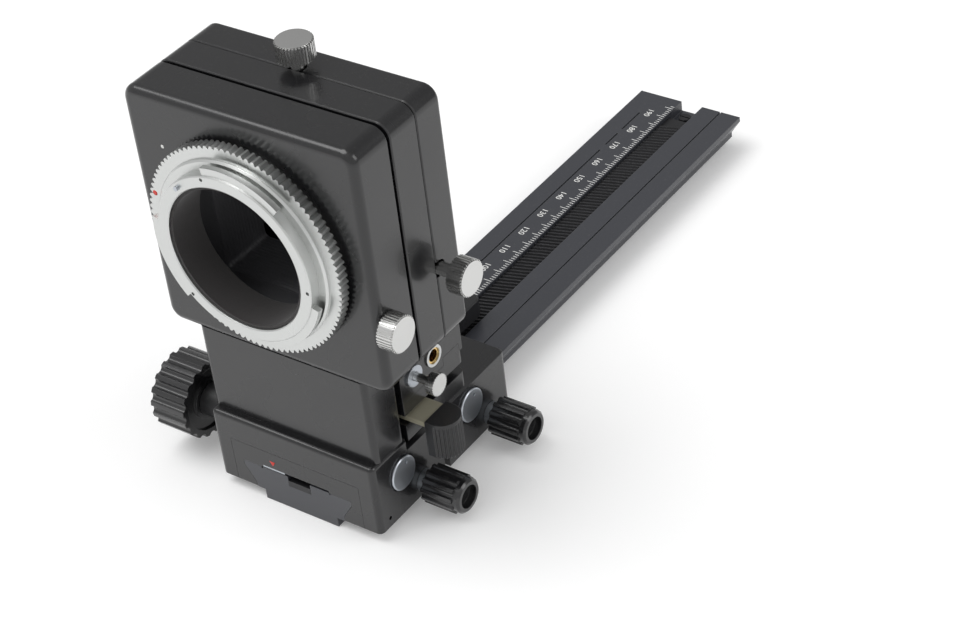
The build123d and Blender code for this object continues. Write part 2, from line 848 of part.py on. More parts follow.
with BuildPart() as release_thread:
    with BuildSketch(side_plane(block_half - socket_depth)):
        with Locations((socket_place, socket_height)):
            Circle(socket_bore + thread_thickness - 0.02)
            Circle(socket_bore, mode=Mode.SUBTRACT)
    extrude(amount=6.1)
save(release_thread.part, "release_thread")

with BuildPart() as shift_washer:
    with BuildSketch(side_plane(block_half)):
        with Locations((shift_screw_place, shift_screw_height)):
            Circle(3.0)
            Circle(shift_shaft + running_gap, mode=Mode.SUBTRACT)
    extrude(amount=0.7)
save(shift_washer.part, "shift_washer")

with BuildPart() as shift_lock_screw:
    with BuildSketch(side_plane(block_half - 5.5)):
        with Locations((shift_screw_place, shift_screw_height)):
            Circle(shift_shaft)
    extrude(amount=12.0)
    with BuildSketch(side_plane(block_half + 5.8)):
        with Locations((shift_screw_place, shift_screw_height)):
            Circle(shift_head_radius)
            with PolarLocations(shift_head_radius + 0.05, shift_flutes):
                Rectangle(0.5, pi * shift_head_radius / shift_flutes, mode=Mode.SUBTRACT)
    extrude(amount=2.4)
save(shift_lock_screw.part, "shift_lock_screw")

with BuildPart() as bellows_frame:
    with BuildSketch(face_plane(frame_front)):
        box_sketch(box_size, box_corner)
    extrude(amount=-(frame_back - frame_front))
    chamfer(bellows_frame.faces().filter_by(Axis.Y).edges(), seam_edge)
    with BuildSketch(face_plane(frame_front)):
        box_sketch(lip_outer, inner_corner)
    extrude(amount=-(lip_back - frame_front))
    with BuildSketch(face_plane(frame_front)):
        box_sketch(lip_inner, inner_corner)
    extrude(amount=-(lip_back - frame_front), mode=Mode.SUBTRACT)
    with BuildSketch(Plane.XY.offset(optical_height)):
        with Locations((0, seam_screw_place)):
            Circle(thumb_shaft + running_gap)
    extrude(amount=box_half + 1, mode=Mode.SUBTRACT)
    with BuildSketch(side_plane(0)):
        with Locations((seam_screw_place, side_screw_height)):
            Circle(thumb_shaft + running_gap)
    extrude(amount=box_half + 1, mode=Mode.SUBTRACT)
save(bellows_frame.part, "bellows_frame")

notch_radius = thumb_shaft + 0.45
button_place = (-button_offset, optical_height - button_offset)
button_seat = wall - button_travel - 0.3
with BuildPart() as lens_panel:
    with BuildSketch(face_plane(panel_front)):
        box_sketch(box_size, box_corner)
    extrude(amount=-(panel_back - panel_front))
    fillet(lens_panel.faces().sort_by(Axis.Y)[-1].edges(), 1.2)
    chamfer(lens_panel.faces().sort_by(Axis.Y)[0].edges(), seam_edge)
    with BuildSketch(face_plane(panel_front)):
        box_sketch(inner_size, inner_corner)
    extrude(amount=-(panel_back - panel_front - wall), mode=Mode.SUBTRACT)
    with BuildSketch(face_plane(panel_front)):
        with Locations((0, optical_height)):
            Circle(lens_throat)
        with Locations(button_place):
            Circle(button_radius + running_gap)
    extrude(amount=-(panel_back - panel_front + 1), mode=Mode.SUBTRACT)
    with BuildSketch(Plane.XY.offset(optical_height)):
        with Locations((0, seam_screw_place)):
            Circle(notch_radius)
        with Locations((0, seam_screw_place - 2)):
            Rectangle(2 * notch_radius, 4)
    extrude(amount=box_half + 1, mode=Mode.SUBTRACT)
    with BuildSketch(side_plane(0)):
        with Locations((seam_screw_place, side_screw_height)):
            Circle(notch_radius)
        with Locations((seam_screw_place - 2, side_screw_height)):
            Rectangle(4, 2 * notch_radius)
    extrude(amount=box_half + 1, mode=Mode.SUBTRACT)
save(lens_panel.part, "lens_panel")

top_plane = Plane(origin=(0, seam_screw_place, optical_height), x_dir=(1, 0, 0), z_dir=(0, 0, 1))
side_screw_plane = Plane(origin=(0, seam_screw_place, side_screw_height), x_dir=(0, 1, 0), z_dir=(1, 0, 0))
shaft_start = lip_inner / 2 + 0.3
save(
    thumb_screw(top_plane, shaft_start, box_half + 2.8, thumb_radius, thumb_thickness),
    "top_thumb_screw",
)
save(
    thumb_screw(side_screw_plane, shaft_start, box_half + 5.2, thumb_radius, thumb_thickness - 0.6),
    "side_thumb_screw",
)

# Female lens bayonet on the far face.
with BuildPart() as lens_mount:
    with BuildSketch(face_plane(panel_back)):
        with Locations((0, optical_height)):
            Circle(lens_ring_radius)
            Circle(lens_throat, mode=Mode.SUBTRACT)
    extrude(amount=-lens_ring_thickness)
    with BuildSketch(face_plane(panel_back)):
        for turn in claw_turns:
            add(ring_sector(lens_throat - claw_reach, lens_throat + 0.5, turn, claw_sweep))
    extrude(amount=-claw_thickness)
    chamfer(lens_mount.faces().sort_by(Axis.Y)[-1].edges().sort_by(Edge.length)[-1:], 0.4)
save(lens_mount.part, "lens_mount")

# Button that frees the lens, sunk in the lens panel's wall.
with BuildPart() as lens_release_button:
    with BuildSketch(face_plane(panel_back - button_seat)):
        with Locations(button_place):
            Circle(button_radius)
    extrude(amount=-(button_height + button_seat))
    fillet(lens_release_button.faces().sort_by(Axis.Y)[-1].edges(), 0.5)
save(lens_release_button.part, "lens_release_button")
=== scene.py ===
"""Looks, scale, bellows and studio of a bellows view camera unit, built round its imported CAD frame.

Everything is in metres in the CAD's own frame: +Y along the rail, +Z up, +X towards the lock knobs.
"""
from __future__ import annotations

import json
import logging
from dataclasses import dataclass, field
from enum import Enum

import bpy
import numpy as np
from mathutils import Euler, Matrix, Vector

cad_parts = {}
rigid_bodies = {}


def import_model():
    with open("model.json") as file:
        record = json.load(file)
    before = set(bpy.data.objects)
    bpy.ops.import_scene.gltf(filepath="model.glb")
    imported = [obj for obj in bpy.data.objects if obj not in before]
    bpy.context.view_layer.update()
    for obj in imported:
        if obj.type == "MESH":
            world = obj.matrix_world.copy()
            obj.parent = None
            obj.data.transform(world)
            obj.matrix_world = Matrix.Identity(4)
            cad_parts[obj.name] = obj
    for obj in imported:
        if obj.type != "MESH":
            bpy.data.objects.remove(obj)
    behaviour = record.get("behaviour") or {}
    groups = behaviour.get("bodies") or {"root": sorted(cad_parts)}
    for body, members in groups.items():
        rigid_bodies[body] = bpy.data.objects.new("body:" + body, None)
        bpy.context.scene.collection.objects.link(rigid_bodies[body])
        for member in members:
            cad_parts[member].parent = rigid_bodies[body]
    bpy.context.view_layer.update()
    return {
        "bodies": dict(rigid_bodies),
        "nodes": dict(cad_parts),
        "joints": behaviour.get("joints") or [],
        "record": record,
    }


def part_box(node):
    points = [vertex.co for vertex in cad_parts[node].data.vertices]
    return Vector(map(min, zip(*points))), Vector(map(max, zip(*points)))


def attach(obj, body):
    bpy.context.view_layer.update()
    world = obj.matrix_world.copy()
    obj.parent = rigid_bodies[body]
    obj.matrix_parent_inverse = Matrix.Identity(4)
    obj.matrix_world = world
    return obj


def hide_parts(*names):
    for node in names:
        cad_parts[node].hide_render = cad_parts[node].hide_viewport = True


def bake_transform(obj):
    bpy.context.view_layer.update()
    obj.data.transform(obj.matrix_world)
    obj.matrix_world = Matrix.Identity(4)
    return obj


LOG = logging.getLogger("bellows_unit")
MM = 0.001

Colour = tuple[float, float, float]
Triple = tuple[float, float, float]

# Height angles of the rings of a paint spot, in degrees, from inside the face up to the crown.
SPOT_RINGS = (-50.0, 0.0, 50.0, 89.0)
EDGE_SAMPLES = 4
FINE_DETAIL = 2.0
CLOUD_SCALE = 60.0
# The cloud noise stays within about a quarter either side of its middle, and this brings it to one.
CLOUD_GAIN = 4
DUST_SCALE = 1400.0
DUST_DETAIL = 3.0
DUST_START = 0.56
DUST_FULL = 0.78
DUST_COLOUR = (0.42, 0.41, 0.39)
COAT_ROUGHNESS = 0.12


# ------------------------------------------------------------------ meshes
def mesh_object(name: str, points: np.ndarray, faces: np.ndarray) -> bpy.types.Object:
    """Put worked-out vertices and four-sided faces into a mesh object at the origin.

    Args:
        name: Name of the object and its mesh.
        points: Vertex places, shape (count, 3), in metres.
        faces: Vertex numbers of each face, shape (count, 4).

    Returns:
        The object, linked to the scene.
    """
    mesh = bpy.data.meshes.new(name)
    mesh.vertices.add(len(points))
    mesh.vertices.foreach_set("co", points.astype(np.float32).ravel())
    mesh.loops.add(faces.size)
    mesh.loops.foreach_set("vertex_index", faces.astype(np.int32).ravel())
    mesh.polygons.add(len(faces))
    mesh.polygons.foreach_set("loop_start", np.arange(0, faces.size, faces.shape[1], dtype=np.int32))
    mesh.update(calc_edges=True)
    mesh.validate()
    piece = bpy.data.objects.new(name, mesh)
    bpy.context.scene.collection.objects.link(piece)
    return piece


def grid_faces(rows: int, columns: int) -> np.ndarray:
    """Faces of a tube of rows, each row a closed loop of columns.

    Args:
        rows: Number of loops along the tube.
        columns: Number of points round each loop.

    Returns:
        Vertex numbers, shape ((rows - 1) * columns, 4), wound so that the faces point outwards
        when the loops turn from +X to +Z and the rows run along +Y.
    """
    row, column = np.meshgrid(np.arange(rows - 1), np.arange(columns), indexing="ij")
    beside = (column + 1) % columns
    here = row * columns
    corners = [here + column, here + columns + column, here + columns + beside, here + beside]
    return np.stack(corners, axis=-1).reshape(-1, 4)


def boxes_object(name: str, low: np.ndarray, high: np.ndarray) -> bpy.types.Object:
    """Many small upright blocks as one mesh.

    Args:
        name: Name of the object.
        low: Lowest corners, shape (count, 3).
        high: Highest corners, shape (count, 3).

    Returns:
        One object that holds every block.
    """
    pick = np.array([[x, y, z] for z in (0, 1) for y in (0, 1) for x in (0, 1)])
    points = low[:, None, :] * (1 - pick) + high[:, None, :] * pick
    sides = np.array(
        [[0, 2, 3, 1], [4, 5, 7, 6], [0, 1, 5, 4], [2, 6, 7, 3], [0, 4, 6, 2], [1, 3, 7, 5]]
    )
    faces = (np.arange(len(low))[:, None, None] * 8 + sides[None]).reshape(-1, 4)
    return mesh_object(name, points.reshape(-1, 3), faces)


def spot_object(
    name: str, centre: Vector, radius: float, sides: int, turn: float, lift: float
) -> bpy.types.Object:
    """A thin crowned spot of paint on a face that looks along -Y.

    A point is the centre plus the radius times the cosine of its height angle, turned round the
    centre, and its height is the lift times the sine of that angle.

    Args:
        name: Name of the object.
        centre: Middle of the spot, on the painted face.
        radius: Distance from the middle to a corner or to the rim.
        sides: Number of corners: three for a triangle, many for a disc.
        turn: Angle of the first corner from +X towards +Z, in radians.
        lift: Height of the paint's crown above the face.

    Returns:
        The spot, open where it is sunk in the face and by a hair at its crown.
    """
    around = turn + np.arange(sides) * 2 * np.pi / sides
    rise = np.radians(SPOT_RINGS)
    flat = np.cos(rise)[:, None] * radius
    places = np.stack(
        [
            centre.x + flat * np.cos(around),
            centre.y - np.sin(rise)[:, None] * lift + 0 * around,
            centre.z + flat * np.sin(around),
        ],
        axis=-1,
    )
    return mesh_object(name, places.reshape(-1, 3), grid_faces(len(rise), sides)[:, ::-1])


# ------------------------------------------------------------------ shader groups
class Sheet:
    """A node tree being written: makes nodes and joins their sockets."""

    def __init__(self, tree: bpy.types.NodeTree) -> None:
        """Keep the tree that the nodes go into."""
        self.tree = tree

    def node(self, kind: str, **settings: object) -> bpy.types.Node:
        """Make one node.

        Args:
            kind: Blender's name of the node type.
            settings: Attributes set on the node.

        Returns:
            The new node.
        """
        made = self.tree.nodes.new(kind)
        for key, value in settings.items():
            setattr(made, key, value)
        return made

    def join(self, source: bpy.types.NodeSocket, target: bpy.types.NodeSocket) -> None:
        """Link an output to an input."""
        self.tree.links.new(source, target)

    def maths(
        self, operation: str, first: bpy.types.NodeSocket | float, second: bpy.types.NodeSocket | float
    ) -> bpy.types.NodeSocket:
        """Add a maths node.

        Args:
            operation: Name of the operation.
            first: A socket or a number.
            second: A socket or a number.

        Returns:
            The result's socket.
        """
        made = self.node("ShaderNodeMath", operation=operation)
        for place, value in enumerate((first, second)):
            if isinstance(value, (int, float)):
                made.inputs[place].default_value = value
            else:
                self.join(value, made.inputs[place])
        return made.outputs[0]


def new_group(
    name: str, inputs: dict[str, tuple[str, float]], outputs: dict[str, str]
) -> tuple[Sheet, bpy.types.Node, bpy.types.Node]:
    """Start a shader node group with named sockets.

    Args:
        name: The group's name.
        inputs: Socket name to its socket type and default value.
        outputs: Socket name to its socket type.

    Returns:
        The sheet to write in, the group's input node and its output node.
    """
    tree = bpy.data.node_groups.new(name, "ShaderNodeTree")
    for label, (kind, value) in inputs.items():
        made = tree.interface.new_socket(label, in_out="INPUT", socket_type=kind)
        made.default_value = value
    for label, kind in outputs.items():
        tree.interface.new_socket(label, in_out="OUTPUT", socket_type=kind)
    page = Sheet(tree)
    return page, page.node("NodeGroupInput"), page.node("NodeGroupOutput")


def make_soft_edge() -> bpy.types.NodeTree:
    """Group that rounds a solid's sharp edges and marks where they are.

    Returns:
        Group with Radius and Reach in, and Normal and Mask out.
    """
    page, inside, outside = new_group(
        "soft edge",
        {"Radius": ("NodeSocketFloat", 0.0003), "Reach": ("NodeSocketFloat", 4.0)},
        {"Normal": "NodeSocketVector", "Mask": "NodeSocketFloat"},
    )
    bevel = page.node("ShaderNodeBevel", samples=EDGE_SAMPLES)
    page.join(inside.outputs["Radius"], bevel.inputs["Radius"])
    face = page.node("ShaderNodeNewGeometry")
    along = page.node("ShaderNodeVectorMath", operation="DOT_PRODUCT")
    page.join(bevel.outputs["Normal"], along.inputs[0])
    page.join(face.outputs["Normal"], along.inputs[1])
    bent = page.maths("SUBTRACT", 1.0, along.outputs["Value"])
    mask = page.node("ShaderNodeClamp")
    page.join(page.maths("MULTIPLY", bent, inside.outputs["Reach"]), mask.inputs["Value"])
    page.join(bevel.outputs["Normal"], outside.inputs["Normal"])
    page.join(mask.outputs["Result"], outside.inputs["Mask"])
    return page.tree


def make_grain() -> bpy.types.NodeTree:
    """Group that gives a surface its fine grain and a slow unevenness.

    Returns:
        Group with Scale in, and Height and Cloud out, both from 0 to 1.
    """
    page, inside, outside = new_group(
        "grain",
        {"Scale": ("NodeSocketFloat", 900.0)},
        {"Height": "NodeSocketFloat", "Cloud": "NodeSocketFloat"},
    )
    place = page.node("ShaderNodeTexCoord")
    fine = page.node("ShaderNodeTexNoise")
    fine.inputs["Detail"].default_value = FINE_DETAIL
    page.join(place.outputs["Object"], fine.inputs["Vector"])
    page.join(inside.outputs["Scale"], fine.inputs["Scale"])
    slow = page.node("ShaderNodeTexNoise")
    slow.inputs["Scale"].default_value = CLOUD_SCALE
    page.join(place.outputs["Object"], slow.inputs["Vector"])
    page.join(fine.outputs["Fac"], outside.inputs["Height"])
    page.join(slow.outputs["Fac"], outside.inputs["Cloud"])
    return page.tree


def make_dust() -> bpy.types.NodeTree:
    """Group that settles a little dust on faces that look up.

    Returns:
        Group with Amount in and Mask out.
    """
    page, inside, outside = new_group(
        "dust", {"Amount": ("NodeSocketFloat", 0.1)}, {"Mask": "NodeSocketFloat"}
    )
    place = page.node("ShaderNodeTexCoord")
    speck = page.node("ShaderNodeTexNoise")
    speck.inputs["Scale"].default_value = DUST_SCALE
    speck.inputs["Detail"].default_value = DUST_DETAIL
    page.join(place.outputs["Object"], speck.inputs["Vector"])
    ramp = page.node("ShaderNodeMapRange", interpolation_type="SMOOTHSTEP")
    ramp.inputs["From Min"].default_value = DUST_START
    ramp.inputs["From Max"].default_value = DUST_FULL
    page.join(speck.outputs["Fac"], ramp.inputs["Value"])
    face = page.node("ShaderNodeNewGeometry")
    split = page.node("ShaderNodeSeparateXYZ")
    page.join(face.outputs["Normal"], split.inputs["Vector"])
    upward = page.maths("MAXIMUM", split.outputs["Z"], 0.0)
    resting = page.maths("MULTIPLY", ramp.outputs["Result"], upward)
    settled = page.maths("MULTIPLY", resting, inside.outputs["Amount"])
    page.join(settled, outside.inputs["Mask"])
    return page.tree


# ------------------------------------------------------------------ finishes
@dataclass(frozen=True)
class Finish:
    """How one material of the unit looks.

    Attributes:
        name: The material's name.
        colour: Its plain colour, linear.
        metal: 1 for bare metal and 0 for paint, plastic and cloth.
        rough: Middle roughness.
        uneven: How far the roughness wanders either way.
        coat: Weight of a clear coat over it.
        specular: Strength of an unmetalled surface's shine.
        sheen: Weight of a cloth's sheen.
        edge: Radius that sharp edges are softened to.
        worn: Colour that shows on the edges.
        wear: Share of that colour on the edges.
        grain: Scale of the fine grain.
        depth: Height of the grain.
        dust: Amount of dust on upward faces.
    """

    name: str
    colour: Colour
    metal: float = 0.0
    rough: float = 0.4
    uneven: float = 0.06
    coat: float = 0.0
    specular: float = 0.5
    sheen: float = 0.0
    edge: float = 0.0003
    worn: Colour = (0.3, 0.3, 0.31)
    wear: float = 0.0
    grain: float = 2600.0
    depth: float = 0.000004
    dust: float = 0.0

    def build(self, groups: dict[str, bpy.types.NodeTree]) -> bpy.types.Material:
        """Write the finish as a material.

        Args:
            groups: The shared shader groups by name.

        Returns:
            The new material.
        """
        material = bpy.data.materials.new(self.name)
        material.use_nodes = True
        page = Sheet(material.node_tree)
        shader = material.node_tree.nodes["Principled BSDF"]
        shader.inputs["Metallic"].default_value = self.metal
        shader.inputs["Coat Weight"].default_value = self.coat
        shader.inputs["Coat Roughness"].default_value = COAT_ROUGHNESS
        shader.inputs["Specular IOR Level"].default_value = self.specular
        shader.inputs["Sheen Weight"].default_value = self.sheen
        soft = page.node("ShaderNodeGroup", node_tree=groups["soft edge"])
        soft.inputs["Radius"].default_value = self.edge
        grain = page.node("ShaderNodeGroup", node_tree=groups["grain"])
        grain.inputs["Scale"].default_value = self.grain
        bump = page.node("ShaderNodeBump")
        bump.inputs["Distance"].default_value = self.depth
        page.join(grain.outputs["Height"], bump.inputs["Height"])
        page.join(soft.outputs["Normal"], bump.inputs["Normal"])
        page.join(bump.outputs["Normal"], shader.inputs["Normal"])
        centred = page.maths("SUBTRACT", grain.outputs["Cloud"], 0.5)
        wander = page.maths("MULTIPLY", centred, CLOUD_GAIN * self.uneven)
        page.join(page.maths("ADD", wander, self.rough), shader.inputs["Roughness"])
        page.join(self._colours(page, soft, groups), shader.inputs["Base Color"])
        return material

    def _colours(
        self, page: Sheet, soft: bpy.types.Node, groups: dict[str, bpy.types.NodeTree]
    ) -> bpy.types.NodeSocket:
        """Lay the worn edges and the dust over the plain colour.

        Args:
            page: The material's sheet.
            soft: The soft edge group's node.
            groups: The shared shader groups by name.

        Returns:
            The colour's socket.
        """
        dust = page.node("ShaderNodeGroup", node_tree=groups["dust"])
        dust.inputs["Amount"].default_value = self.dust
        worn_share = page.maths("MULTIPLY", soft.outputs["Mask"], self.wear)
        base = page.node("ShaderNodeMix", data_type="RGBA")
        base.inputs["A"].default_value = (*self.colour, 1.0)
        base.inputs["B"].default_value = (*self.worn, 1.0)
        page.join(worn_share, base.inputs["Factor"])
        dusty = page.node("ShaderNodeMix", data_type="RGBA")
        dusty.inputs["B"].default_value = (*DUST_COLOUR, 1.0)
        page.join(base.outputs["Result"], dusty.inputs["A"])
        page.join(dust.outputs["Mask"], dusty.inputs["Factor"])
        return dusty.outputs["Result"]


class Look(Enum):
    """Every finish on the unit."""

    PAINT = Finish("black paint", (0.0075, 0.0075, 0.0085), rough=0.27, coat=0.3, wear=0.12, dust=0.035)
    RAIL = Finish(
        "rail black", (0.034, 0.036, 0.044), rough=0.34, uneven=0.05, specular=0.7, wear=0.3, dust=0.04
    )
    RACK = Finish("rack steel", (0.020, 0.020, 0.022), metal=0.3, rough=0.36, edge=0.00006, wear=0.35)
    ANODISED = Finish("black anodised", (0.013, 0.013, 0.014), rough=0.38, wear=0.25, dust=0.05)
    CHROME = Finish(
        "satin chrome",
        (0.60, 0.61, 0.60),
        metal=1.0,
        rough=0.31,
        uneven=0.05,
        edge=0.0001,
        worn=(0.9, 0.9, 0.9),
        wear=0.3,
    )
    STEEL = Finish("steel", (0.50, 0.53, 0.57), metal=1.0, rough=0.36, grain=3200.0, depth=0.000006)
    KNURLED = Finish("knurled nickel", (0.62, 0.62, 0.61), metal=1.0, rough=0.25, edge=0.00005, wear=0.2)
    PLASTIC = Finish("knob black", (0.010, 0.010, 0.011), rough=0.24, coat=0.5, edge=0.0004, dust=0.06)
    FELT = Finish(
        "throat black",
        (0.034, 0.031, 0.031),
        rough=0.8,
        specular=0.3,
        sheen=0.2,
        grain=1800.0,
        depth=0.00004,
    )
    # Painted light: the cloth's own near-black colour is raised to a dark grey so that its folds show
    # inside the closed box, where little light reaches. The colour is partly the cloth's own and partly
    # painted light.
    CLOTH = Finish(
        "bellows cloth with painted light", (0.075, 0.075, 0.082), rough=0.45, specular=0.7, grain=4200.0, depth=0.00001
    )
    YELLOW = Finish("zinc yellow", (0.56, 0.53, 0.40), metal=0.55, rough=0.38, uneven=0.1)
    BRASS = Finish("brass", (0.80, 0.55, 0.22), metal=1.0, rough=0.22, edge=0.0001)
    WHITE = Finish("white mark", (0.82, 0.82, 0.80), rough=0.55, edge=0.00003)
    RED = Finish("red mark", (0.62, 0.030, 0.018), rough=0.4, edge=0.00005)


SLOT_LOOKS = {
    "rail_black": Look.RAIL,
    "rack_metal": Look.RACK,
    "steel": Look.STEEL,
    "black_paint": Look.PAINT,
    "black_anodised": Look.ANODISED,
    "chrome": Look.CHROME,
    "felt": Look.FELT,
    "knurled": Look.KNURLED,
    "bellows_cloth": Look.CLOTH,
    "zinc_yellow": Look.YELLOW,
    "brass": Look.BRASS,
    "knob_plastic": Look.PLASTIC,
}


@dataclass
class Wardrobe:
    """The materials, made once and handed out by their look."""

    made: dict[Look, bpy.types.Material] = field(default_factory=dict)

    def build(self) -> None:
        """Make the shared groups and every finish's material."""
        groups = {"soft edge": make_soft_edge(), "grain": make_grain(), "dust": make_dust()}
        for look in Look:
            self.made[look] = look.value.build(groups)

    def dress(self, piece: bpy.types.Object, look: Look) -> None:
        """Give a piece one finish all over."""
        piece.data.materials.clear()
        piece.data.materials.append(self.made[look])

    def dress_frame(self, frame: dict) -> None:
        """Give every CAD node the finish of its material slot.
        """
        for part in frame["record"]["subparts"]:
            self.dress(frame["nodes"][part["node"]], SLOT_LOOKS[part["material_slot"]])


# ------------------------------------------------------------------ rail scale
@dataclass
class RailScale:
    """White millimetre scale and its numbers along the rail's left land.

    Attributes:
        tick_right: X of every tick's right-hand end.
        long_tick: Length of the five and ten millimetre ticks.
        short_tick: Length of the single millimetre ticks.
        tick_width: Width of a tick.
        paint: Height of the paint above the rail.
        number_middle: X of the numbers' middle.
        number_height: Height of a digit.
        digit_share: Height of a digit as a share of the lettering's size.
        long_step: Millimetres between long ticks.
        number_step: Millimetres between numbers.
        last: Highest place on the scale, in millimetres.
    """

    tick_right: float = -3.35 * MM
    long_tick: float = 2.7 * MM
    short_tick: float = 1.3 * MM
    tick_width: float = 0.22 * MM
    paint: float = 0.02 * MM
    number_middle: float = -9.0 * MM
    number_height: float = 2.0 * MM
    digit_share: float = 0.72
    long_step: int = 5
    number_step: int = 10
    last: int = 196

    def build(self, wardrobe: Wardrobe) -> None:
        """Make the ticks and the numbers on the rail's top."""
        low_corner, high_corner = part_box("rail")
        top, start = high_corner.z, low_corner.y
        places = np.arange(1, self.last + 1)
        reach = np.where(places % self.long_step == 0, self.long_tick, self.short_tick)
        level = np.ones(len(places))
        low = np.stack(
            [
                self.tick_right - reach,
                start + places * MM - self.tick_width / 2,
                level * (top - self.paint),
            ],
            axis=-1,
        )
        high = np.stack(
            [
                level * self.tick_right,
                start + places * MM + self.tick_width / 2,
                level * (top + self.paint),
            ],
            axis=-1,
        )
        ticks = boxes_object("scale_ticks", low, high)
        numbers = self._numbers(top, start)
        for piece in (ticks, numbers):
            wardrobe.dress(piece, Look.WHITE)
            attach(piece, "rail")
        LOG.info("scale: %d ticks", len(places))

    def _numbers(self, top: float, start: float) -> bpy.types.Object:
        """Numbers every ten millimetres, read from the right-hand side of the rail.

        The digits' own X runs along -Y and their own Y along +X, so each point (u, v) of the
        flat lettering goes to (middle + v, place - u).

        Args:
            top: Height of the rail's top.
            start: Y of the scale's zero.

        Returns:
            One mesh with every number.
        """
        curve = bpy.data.curves.new("number", "FONT")
        curve.size = self.number_height / self.digit_share
        curve.align_x = "CENTER"
        curve.align_y = "CENTER"
        curve.extrude = self.paint / 2
        curve.resolution_u = 3
        writer = bpy.data.objects.new("number", curve)
        bpy.context.scene.collection.objects.link(writer)
        points, faces, count = [], [], 0
        for number in range(self.number_step, self.last, self.number_step):
            curve.body = str(number)
            bpy.context.view_layer.update()
            shown = writer.evaluated_get(bpy.context.evaluated_depsgraph_get())
            flat = bpy.data.meshes.new_from_object(shown)
            place = np.empty(len(flat.vertices) * 3, np.float32)
            flat.vertices.foreach_get("co", place)
            place = place.reshape(-1, 3)
            points.append(
                np.stack(
                    [
                        self.number_middle + place[:, 1],
                        start + number * MM - place[:, 0],
                        top + place[:, 2] + self.paint / 2,
                    ],
                    axis=-1,
                )
            )
            faces += [[count + v for v in polygon.vertices] for polygon in flat.polygons]
            count += len(place)
            bpy.data.meshes.remove(flat)
        bpy.data.objects.remove(writer)
        mesh = bpy.data.meshes.new("scale_numbers")
        mesh.from_pydata(np.concatenate(points), [], faces)
        piece = bpy.data.objects.new("scale_numbers", mesh)
        bpy.context.scene.collection.objects.link(piece)
        return piece


